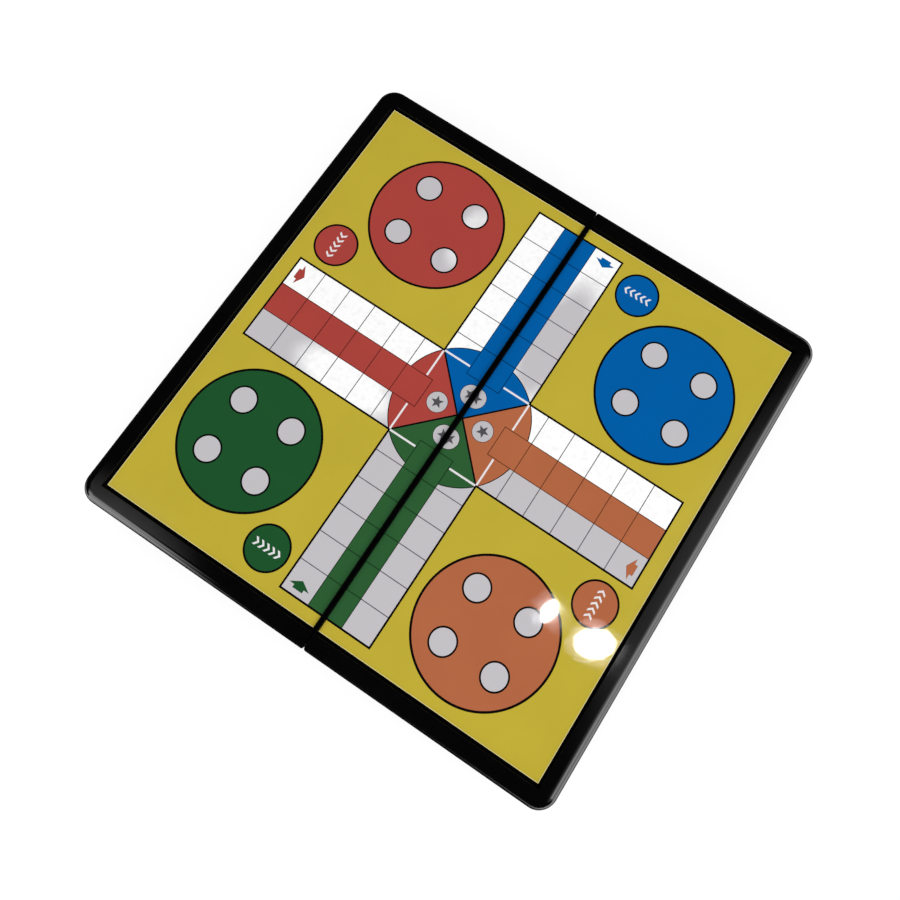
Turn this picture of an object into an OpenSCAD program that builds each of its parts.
// Folding board box for a ludo game, opened flat for play.
// The seam between the halves runs along Y at x = 0, the printed faces look up,
// and the right half swings down and under the left one to close the box.

/* [Board] */
// Width of the open board, across the seam
board_x = 251.4; // [230:0.1:290]
// Length of the board, along the seam
board_y = 245; // [225:0.1:280]
// Height of one half, from its rim to the top of its frame
half_h = 19; // [17.5:0.5:26]
// Radius of the outer corners, seen from above
corner_r = 9; // [6:0.5:11]
// Radius of the upper outer edge
edge_r = 4.5; // [1.5:0.25:4.75]
// Radius of the small corners beside the seam
seam_corner_r = 1.8; // [0.8:0.1:2]
// Open slit between the two halves
seam_gap = 0.5; // [0.3:0.05:0.8]
// Thickness of the outer walls
wall = 2.4; // [2:0.1:3]
// Thickness of the walls beside the seam
seam_wall = 2.2; // [1.8:0.1:3]
// Thickness of the moulded deck
deck_t = 1.8; // [1.4:0.1:2.4]
// Gap between each rim and the plane of the hinge
rim_play = 0.15; // [0.1:0.05:0.3]

/* [Playing surface] */
// Width of the frame beside the print, at the outer end of each half
border_x = 10.65; // [8.5:0.05:13]
// Width of the frame beside the print, at the front and the rear
border_y = 10.6; // [8.5:0.05:13]
// Distance from the middle of the seam to the print
seam_band = 1.44; // [1.2:0.01:2.2]
// Thickness of the laminated print
print_t = 0.3; // [0.2:0.05:0.5]
// Thickness of the tinned steel sheet under it
steel_t = 0.3; // [0.2:0.05:0.5]
// How far the steel sheet stays inside the edge of the print
steel_inset = 0.8; // [0.4:0.1:3]
// Height of the frame above the print
lip_h = 1.2; // [0.4:0.1:1.4]
// Bare floor between the print and the bevel of the frame
floor_margin = 0.9; // [0.4:0.1:1.5]
// Width of the bevel that leads down to the print
bevel_w = 0.6; // [0.5:0.1:1.6]
// Room between the print and the lip beside the seam
print_play = 0.15; // [0.1:0.05:0.2]

/* [Ribs] */
// Thickness of a rib under the deck
rib_t = 1.2; // [0.8:0.1:1.8]
// Height of a rib under the deck
rib_h = 2.4; // [1:0.1:3]
// Distance from one rib to the next
rib_pitch = 30; // [20:1:45]

/* [Hinge] */
// Outer radius of a hinge knuckle
barrel_r = 2.5; // [2.2:0.1:3.2]
// Radius of a hinge pin
pin_r = 1.0; // [0.8:0.05:1.3]
// Radial clearance of a pin in the knuckles that turn on it
pin_play = 0.06; // [0.03:0.01:0.09]
// Length of one knuckle
knuckle_w = 5; // [4:0.25:7]
// Gap between neighbouring knuckles
knuckle_gap = 0.35; // [0.25:0.05:0.6]
// Knuckles at each hinge, odd so that the left half holds both ends
knuckles = 5; // [3:2:7]
// Distance from the middle of the board to each hinge
hinge_y = 70; // [55:1:72]
// Room round the other half's knuckles
knuckle_relief = 0.35; // [0.25:0.05:0.6]
// How far the thick hinge block reaches in from the middle of the seam
block_x = 6; // [5:0.25:7]
// Height of the hinge block
block_h = 8; // [7:0.5:10]
// Height of the knuckles above the table
table_gap = 0.5; // [0.3:0.1:1]

/* [Feet] */
// Outer radius of a foot post
post_r = 5; // [4.5:0.1:5.5]
// Radius of the socket in its end
socket_r = 2.5; // [2:0.1:3]
// Depth of that socket
socket_h = 12; // [6:0.5:14]
// Radius of the rubber foot's head
foot_r = 4.4; // [3.6:0.1:4.5]
// Thickness of that head
foot_t = 1.5; // [1.2:0.1:1.8]
// Length of the stem in the socket
stem_h = 4.5; // [3:0.5:5]
// Room round the stem
stem_play = 0.04; // [0.02:0.01:0.1]
// Distance from the middle of the seam to the inner posts
post_seam_x = 14; // [13:0.5:20]
// Distance from the outer end to the outer posts
post_end_x = 13.7; // [12:0.1:18]
// Distance from the front and the rear to the left half's posts
post_end_y = 15.7; // [13:0.1:16]
// How much further in the right half's posts stand
post_stagger = 14; // [12.5:0.5:15]

/* [Closing magnets] */
// Radius of a magnet
magnet_r = 3; // [2.5:0.1:3.5]
// Thickness of a magnet
magnet_t = 2.5; // [1.5:0.1:4]
// Room round a magnet in its pocket
magnet_play = 0.05; // [0.02:0.01:0.1]
// Wall round the pocket
boss_wall = 1.4; // [1.2:0.1:2]
// Distance from the middle of the board to each magnet
magnet_y = 48; // [35:1:60]

/* [Rim] */
// Height of the tongue that keeps the closed halves in line
tongue_h = 1.0; // [0.8:0.05:1.4]
// Thickness of the tongue
tongue_t = 1.0; // [0.7:0.05:1.1]
// Room round the tongue in its rebate
tongue_play = 0.25; // [0.15:0.05:0.3]
// Where the tongue starts, measured from the seam
tongue_start = 8; // [7.5:0.5:12]
// Radius of the ball that the finger dish is cut with
dish_r = 14; // [10:1:20]
// Depth of the finger dish
dish_depth = 1.1; // [0.6:0.1:1.2]

/* [Token bin] */
// Diameter of a token
token_d = 12; // [10:0.5:12.5]
// Height of a token
token_h = 6; // [5:0.25:6.5]
// Distance from one token to the next
token_pitch = 13.4; // [13:0.1:14.5]
// Tokens of one colour
tokens = 4; // [2:1:4]
// Height of a token's base
token_base_h = 1.8; // [1.7:0.1:2.2]
// Radius where the waist grows out of the base
token_shoulder_r = 5; // [4:0.1:5]
// Radius of the waist
token_waist_r = 3.2; // [2.4:0.1:3.6]
// Height of the waist
token_waist_z = 3.6; // [3:0.1:4]
// Radius of the head
token_head_r = 4; // [3.6:0.1:4.8]
// Radius of the ball that dishes the head
token_dish_r = 4.6; // [4.2:0.1:6]
// Depth of the dish
token_dish_depth = 0.6; // [0.2:0.1:0.8]
// Radius of the magnet in a token
token_magnet_r = 3; // [2:0.1:3.5]
// Thickness of the magnet in a token
token_magnet_t = 1.5; // [1:0.1:1.8]
// Edge of the die
die = 10; // [9:0.25:10.25]
// Radius of the ball that rounds the die's corners
die_ball_r = 7.3; // [7.2:0.1:8]
// Radius of a pip
pip_r = 0.9; // [0.6:0.1:1]
// Depth of a pip
pip_depth = 0.6; // [0.3:0.1:0.8]
// Distance from a face's middle to its outer pips, along each edge
pip_step = 2.5; // [2:0.1:2.8]
// Room between the die and the lid that it lies on
die_seat = 0.3; // [0.1:0.05:0.4]
// Room above the die
die_head = 0.5; // [0.3:0.1:0.8]
// Room beside the tokens and the die
bin_play = 0.6; // [0.4:0.1:1]
// Thickness of the bin's walls
bin_wall = 2.4; // [2:0.1:3]
// Distance from the middle of the seam to the middle of the bin
bin_x = 62; // [58:0.5:66]
// Thickness of the bin's sliding lid
lid_t = 1.6; // [1.2:0.1:1.8]
// Depth of the grooves that the lid runs in
groove = 1.0; // [0.7:0.1:1.2]
// Ledge under each groove
ledge = 1.2; // [0.8:0.1:1.2]
// Room beside the lid
lid_side_play = 0.15; // [0.1:0.05:0.25]
// Room above and below the lid
lid_play = 0.1; // [0.08:0.01:0.15]
// Height of the two lugs that stop the lid
lug_h = 1.2; // [0.8:0.1:1.6]
// Length of a lug along the lid
lug_y = 1.6; // [1.2:0.1:2.4]
// Width of a lug across the lid
lug_x = 5; // [3:0.5:8]
// Ridges of the thumb grip
grips = 5; // [3:1:7]
// Distance from one ridge to the next
grip_pitch = 2.2; // [2:0.1:3]
// Radius of a ridge
grip_r = 0.6; // [0.4:0.1:0.7]
// Length of a ridge
grip_w = 22; // [14:1:30]

/* [Hidden] */

$fn = 64;
left = -1;
right = 1;
eps = 0.01;
over = 1;
colours = 4;

// Heights above the table
axis_z = barrel_r + table_gap;
rim_z = axis_z + rim_play;
top_z = axis_z + half_h;
print_z = top_z - lip_h - print_t;
steel_z = print_z - steel_t;
under_z = steel_z - deck_t;

// Places seen from above, in the frame of the right half
seam_x = seam_gap / 2;
end_x = board_x / 2;
end_y = board_y / 2;
print_end_x = end_x - border_x;
print_end_y = end_y - border_y;
min_corner_r = 0.6;

// Hinge
knuckle_step = knuckle_w + knuckle_gap;
hinge_len = knuckles * knuckle_step - knuckle_gap;
relief_r = barrel_r + knuckle_relief;
path_r = pin_r + knuckle_relief;

// Feet and magnets
foot_edge = 0.5;
post_end_z = foot_t;
boss_r = magnet_r + magnet_play + boss_wall;
boss_x = end_x - wall - tongue_play - boss_r + boss_wall / 2;

// Bin and lid
bin_in_x = tokens * token_pitch + bin_play;
bin_in_y = colours * token_pitch + die + 3 * bin_play;
lid_top_z = under_z - die_head - die - die_seat;
lid_z = lid_top_z - lid_t;
bin_rim_z = lid_z - lid_play - ledge;
bin_front_y = -bin_in_y / 2;
bin_rear_y = bin_in_y / 2;
lid_w = bin_in_x + 2 * (groove - lid_side_play);
token_rows_y = bin_front_y + bin_play + token_pitch / 2;
die_y = bin_rear_y - bin_play - die / 2;

// Everything is drawn as it lies in the right half; the left half is its mirror image
module on_side(side) {
  mirror([side < 0 ? 1 : 0, 0, 0]) children();
}

// Outline of one half, drawn in from the outer walls and from the seam
module half_outline(inset = 0, seam_inset = 0) {
  x0 = seam_x + seam_inset;
  x1 = end_x - inset;
  y1 = end_y - inset;
  r0 = max(seam_corner_r - seam_inset, min_corner_r);
  r1 = max(corner_r - inset, min_corner_r);
  translate([x0 + r0, -y1]) square([x1 - r1 - x0 - r0, 2 * y1]);
  translate([x0, -y1 + r0]) square([r0 + eps, 2 * (y1 - r0)]);
  translate([x1 - r1 - eps, -y1 + r1]) square([r1 + eps, 2 * (y1 - r1)]);
  for (y = [-1, 1]) {
    translate([x0 + r0, y * (y1 - r0)]) circle(r0);
    translate([x1 - r1, y * (y1 - r1)]) circle(r1);
  }
}

// What the rounding takes off a square edge at the origin
module edge_waste() {
  difference() {
    translate([-edge_r, -edge_r]) square(edge_r + over);
    translate([-edge_r, -edge_r]) circle(edge_r);
  }
}

// The rounding of the upper edge along the three outer sides
module edge_cutter() {
  translate([end_x, end_y - corner_r, top_z]) rotate([90, 0, 0])
    linear_extrude(board_y - 2 * corner_r) edge_waste();
  for (y = [0, 1]) mirror([0, y, 0]) {
    translate([0, end_y, top_z]) rotate([90, 0, 90])
      linear_extrude(end_x - corner_r) edge_waste();
    translate([end_x - corner_r, end_y - corner_r, top_z])
      rotate_extrude(angle = 90) translate([corner_r, 0]) edge_waste();
  }
}

// The bevelled recess that the steel sheet and the print lie in
module recess() {
  x0 = seam_band - print_play;
  x1 = print_end_x + floor_margin;
  y1 = print_end_y + floor_margin;
  rise = top_z - steel_z;
  run = bevel_w * (rise + over) / rise;
  intersection() {
    rotate([90, 0, 0]) linear_extrude(board_y, center = true)
      polygon([[x0, steel_z], [x1, steel_z], [x1 + run, top_z + over], [x0, top_z + over]]);
    rotate([90, 0, 90]) linear_extrude(end_x)
      polygon([[-y1, steel_z], [y1, steel_z], [y1 + run, top_z + over], [-y1 - run, top_z + over]]);
  }
}

// Crossing ribs under the deck
module ribs() {
  columns = floor((end_x - wall) / rib_pitch);
  rows = floor((end_y - wall) / rib_pitch);
  intersection() {
    translate([0, 0, under_z - rib_h]) linear_extrude(rib_h + eps) half_outline(wall / 2, seam_wall / 2);
    union() {
      for (i = [1 : columns])
        translate([i * rib_pitch - rib_t / 2, -end_y, 0]) cube([rib_t, board_y, top_z]);
      for (i = [-rows : rows])
        translate([0, i * rib_pitch - rib_t / 2, 0]) cube([end_x, rib_t, top_z]);
    }
  }
}

// A round bar along the hinge axis, centred at y
module axle_bar(r, y, length) {
  translate([0, y + length / 2, axis_z]) rotate([90, 0, 0]) cylinder(r = r, h = length);
}

function owns(side, i) = (i % 2 == 0) == (side == left);

// The knuckles that one half carries, each of radius r and lengthened by grow at both ends
module knuckle_bars(side, r, grow) {
  for (station = [-hinge_y, hinge_y], i = [0 : knuckles - 1]) {
    if (owns(side, i))
      axle_bar(r, station + (i - (knuckles - 1) / 2) * knuckle_step, knuckle_w + 2 * grow);
  }
}

// The thick block that the knuckles grow from
module hinge_blocks() {
  inner_x = seam_x + seam_wall / 2;
  for (station = [-hinge_y, hinge_y])
    translate([0, station + hinge_len / 2, 0]) rotate([90, 0, 0]) linear_extrude(hinge_len)
      polygon([
        [seam_x, rim_z], [block_x, rim_z], [block_x, rim_z + block_h - (block_x - inner_x)],
        [inner_x, rim_z + block_h], [seam_x, rim_z + block_h]
      ]);
}

function post_y(side) = end_y - post_end_y - (side == right ? post_stagger : 0);

// Puts its children at the four foot posts of one half
module at_posts(side) {
  for (x = [post_seam_x, end_x - post_end_x], y = [-post_y(side), post_y(side)])
    translate([x, y, 0]) children();
}

// Puts its children at the two magnets of one half
module at_magnets() {
  for (y = [-magnet_y, magnet_y]) translate([boss_x, y, 0]) children();
}

// A ring that follows the outer walls and stops short of the seam
module rim_ring(outer, inner, z, height) {
  translate([0, 0, z]) linear_extrude(height) intersection() {
    difference() {
      half_outline(outer);
      half_outline(inner);
    }
    translate([tongue_start, -end_y]) square([end_x, board_y]);
  }
}

// The walls of the token bin, which hang from the deck
module bin_walls() {
  difference() {
    translate([bin_x - bin_in_x / 2 - bin_wall, bin_front_y - bin_wall, bin_rim_z])
      cube([bin_in_x + 2 * bin_wall, bin_in_y + 2 * bin_wall, under_z - bin_rim_z + eps]);
    // The space for the tokens
    translate([bin_x - bin_in_x / 2, bin_front_y, 0]) cube([bin_in_x, bin_in_y, under_z]);
    // The grooves, and the low rear wall that the lid passes under
    translate([bin_x - bin_in_x / 2 - groove, bin_front_y, lid_z - lid_play])
      cube([bin_in_x + 2 * groove, bin_in_y + bin_wall + over, lid_t + 2 * lid_play]);
    translate([bin_x - bin_in_x / 2, 0, 0])
      cube([bin_in_x, bin_rear_y + bin_wall + over, lid_top_z + lid_play]);
  }
}

// One moulded half
module half_shell(side) {
  color([0.03, 0.03, 0.03]) on_side(side) difference() {
    union() {
      difference() {
        union() {
          difference() {
            translate([0, 0, rim_z]) linear_extrude(top_z - rim_z) half_outline();
            translate([0, 0, rim_z - over]) linear_extrude(under_z - rim_z + over)
              half_outline(wall, seam_wall);
            edge_cutter();
            recess();
          }
          difference() {
            ribs();
            if (side == left)
              translate([bin_x - bin_in_x / 2, bin_front_y, 0]) cube([bin_in_x, bin_in_y, top_z]);
          }
          hinge_blocks();
          translate([0, 0, post_end_z]) at_posts(side) cylinder(r = post_r, h = under_z - post_end_z + eps);
          translate([0, 0, rim_z]) at_magnets() cylinder(r = boss_r, h = under_z - rim_z + eps);
          if (side == left) bin_walls();
          if (side == left) rim_ring(wall - tongue_t, wall, rim_z - tongue_h, tongue_h + eps);
        }
        // Room for the other half's knuckles, and the way in for the pins
        knuckle_bars(-side, relief_r, knuckle_gap);
        axle_bar(path_r, 0, board_y + 2 * over);
        if (side == right)
          rim_ring(
            wall - tongue_t - tongue_play, wall + tongue_play,
            rim_z - over, over + tongue_h - 2 * rim_play + tongue_play
          );
        translate([0, 0, post_end_z - over]) at_posts(side) cylinder(r = socket_r, h = socket_h + over);
        translate([0, 0, rim_z - over]) at_magnets() cylinder(r = magnet_r + magnet_play, h = magnet_t + over);
        translate([end_x + dish_r - dish_depth, 0, axis_z]) sphere(dish_r);
      }
      knuckle_bars(side, barrel_r, 0);
    }
    for (station = [-hinge_y, hinge_y])
      axle_bar(side == left ? pin_r : pin_r + pin_play, station, hinge_len + 2 * over);
  }
}

// A flat sheet that lies in the recess, drawn in by inset on every side
module deck_sheet(side, z, thickness, inset) {
  on_side(side) translate([seam_band + inset, -print_end_y + inset, z])
    cube([print_end_x - seam_band - 2 * inset, 2 * (print_end_y - inset), thickness]);
}

module steel_sheet(side) {
  color([0.72, 0.73, 0.74]) deck_sheet(side, steel_z, steel_t, steel_inset);
}

module print_sheet(side) {
  color([0.75, 0.68, 0.2]) deck_sheet(side, print_z, print_t, 0);
}

module hinge_pin(station) {
  color([0.75, 0.76, 0.78]) axle_bar(pin_r, station, hinge_len);
}

module catch_magnet(side, y) {
  color([0.8, 0.8, 0.82]) on_side(side) translate([boss_x, y, rim_z]) cylinder(r = magnet_r, h = magnet_t);
}

// Rubber feet: a round head on a stem that is pushed into the post
module feet(side) {
  color([0.12, 0.12, 0.12]) on_side(side) at_posts(side) {
    cylinder(r1 = foot_r - foot_edge, r2 = foot_r, h = foot_edge);
    translate([0, 0, foot_edge]) cylinder(r = foot_r, h = foot_t - foot_edge);
    translate([0, 0, foot_t - eps]) cylinder(r = socket_r - stem_play, h = stem_h + eps);
  }
}

// The lid of the token bin, which slides out to the rear
module bin_lid() {
  front_y = bin_front_y + lid_side_play;
  rear_y = bin_rear_y + bin_wall;
  color([0.1, 0.1, 0.11]) on_side(left) translate([bin_x, 0, 0]) {
    translate([-lid_w / 2, front_y, lid_z]) cube([lid_w, rear_y - front_y, lid_t]);
    for (x = [-1, 1])
      translate([x * (bin_in_x / 2 - bin_play - lug_x / 2) - lug_x / 2, front_y, lid_top_z - eps])
        cube([lug_x, lug_y, lug_h + eps]);
    for (i = [0 : grips - 1])
      translate([-grip_w / 2, rear_y - grip_pitch * (i + 1.5), lid_z])
        rotate([0, 90, 0]) cylinder(r = grip_r, h = grip_w, $fn = 32);
  }
}

// Half section of a token, standing on its broad base
module token_section() {
  difference() {
    union() {
      square([token_d / 2, token_base_h]);
      polygon([
        [0, token_base_h - eps], [token_shoulder_r, token_base_h - eps],
        [token_waist_r, token_waist_z], [0, token_waist_z]
      ]);
      translate([0, token_waist_z - eps]) square([token_head_r, token_h - token_waist_z + eps]);
    }
    translate([0, -eps]) square([token_magnet_r, token_magnet_t + eps]);
    translate([0, token_h + token_dish_r - token_dish_depth]) circle(token_dish_r);
  }
}

// Puts its children at the tokens of one row, upside down under the deck
module at_tokens(row) {
  on_side(left) for (i = [0 : tokens - 1])
    translate([
      bin_x + (i - (tokens - 1) / 2) * token_pitch, token_rows_y + row * token_pitch, under_z
    ]) mirror([0, 0, 1]) children();
}

module token_row(row, shade) {
  color(shade) at_tokens(row) rotate_extrude() token_section();
}

module token_magnets() {
  color([0.8, 0.8, 0.82]) for (row = [0 : colours - 1]) at_tokens(row) cylinder(r = token_magnet_r, h = token_magnet_t);
}

// Places of the pips on a face that shows n
function pips(n) = concat(
  n % 2 == 1 ? [[0, 0]] : [],
  n > 1 ? [[-1, -1], [1, 1]] : [],
  n > 3 ? [[-1, 1], [1, -1]] : [],
  n == 6 ? [[-1, 0], [1, 0]] : []
);

// The rotation that brings each number's face to the top
face_turns = [[0, 0, 0], [90, 0, 0], [0, 90, 0], [0, -90, 0], [-90, 0, 0], [180, 0, 0]];

module die_cube() {
  color([0.9, 0.9, 0.88]) on_side(left)
    translate([bin_x, die_y, lid_top_z + die_seat + die / 2]) difference() {
      intersection() {
        cube(die, center = true);
        sphere(die_ball_r);
      }
      for (n = [1 : 6], p = pips(n))
        rotate(face_turns[n - 1]) translate([p[0] * pip_step, p[1] * pip_step, die / 2 + pip_r - pip_depth])
          sphere(pip_r, $fn = 24);
    }
}

half_shell(left);  // shell_left
half_shell(right);  // shell_right
steel_sheet(left);  // steel_sheet_left
steel_sheet(right);  // steel_sheet_right
print_sheet(left);  // print_sheet_left
print_sheet(right);  // print_sheet_right
hinge_pin(-hinge_y);  // hinge_pin_front
hinge_pin(hinge_y);  // hinge_pin_rear
catch_magnet(left, -magnet_y);  // catch_magnet_left_front
catch_magnet(left, magnet_y);  // catch_magnet_left_rear
catch_magnet(right, -magnet_y);  // catch_magnet_right_front
catch_magnet(right, magnet_y);  // catch_magnet_right_rear
feet(left);  // feet_left
feet(right);  // feet_right
bin_lid();
token_row(0, [0.68, 0.26, 0.24]);  // tokens_red
token_row(1, [0, 0.37, 0.65]);  // tokens_blue
token_row(2, [0.13, 0.34, 0.17]);  // tokens_green
token_row(3, [0.7, 0.4, 0.26]);  // tokens_orange
token_magnets();
die_cube();
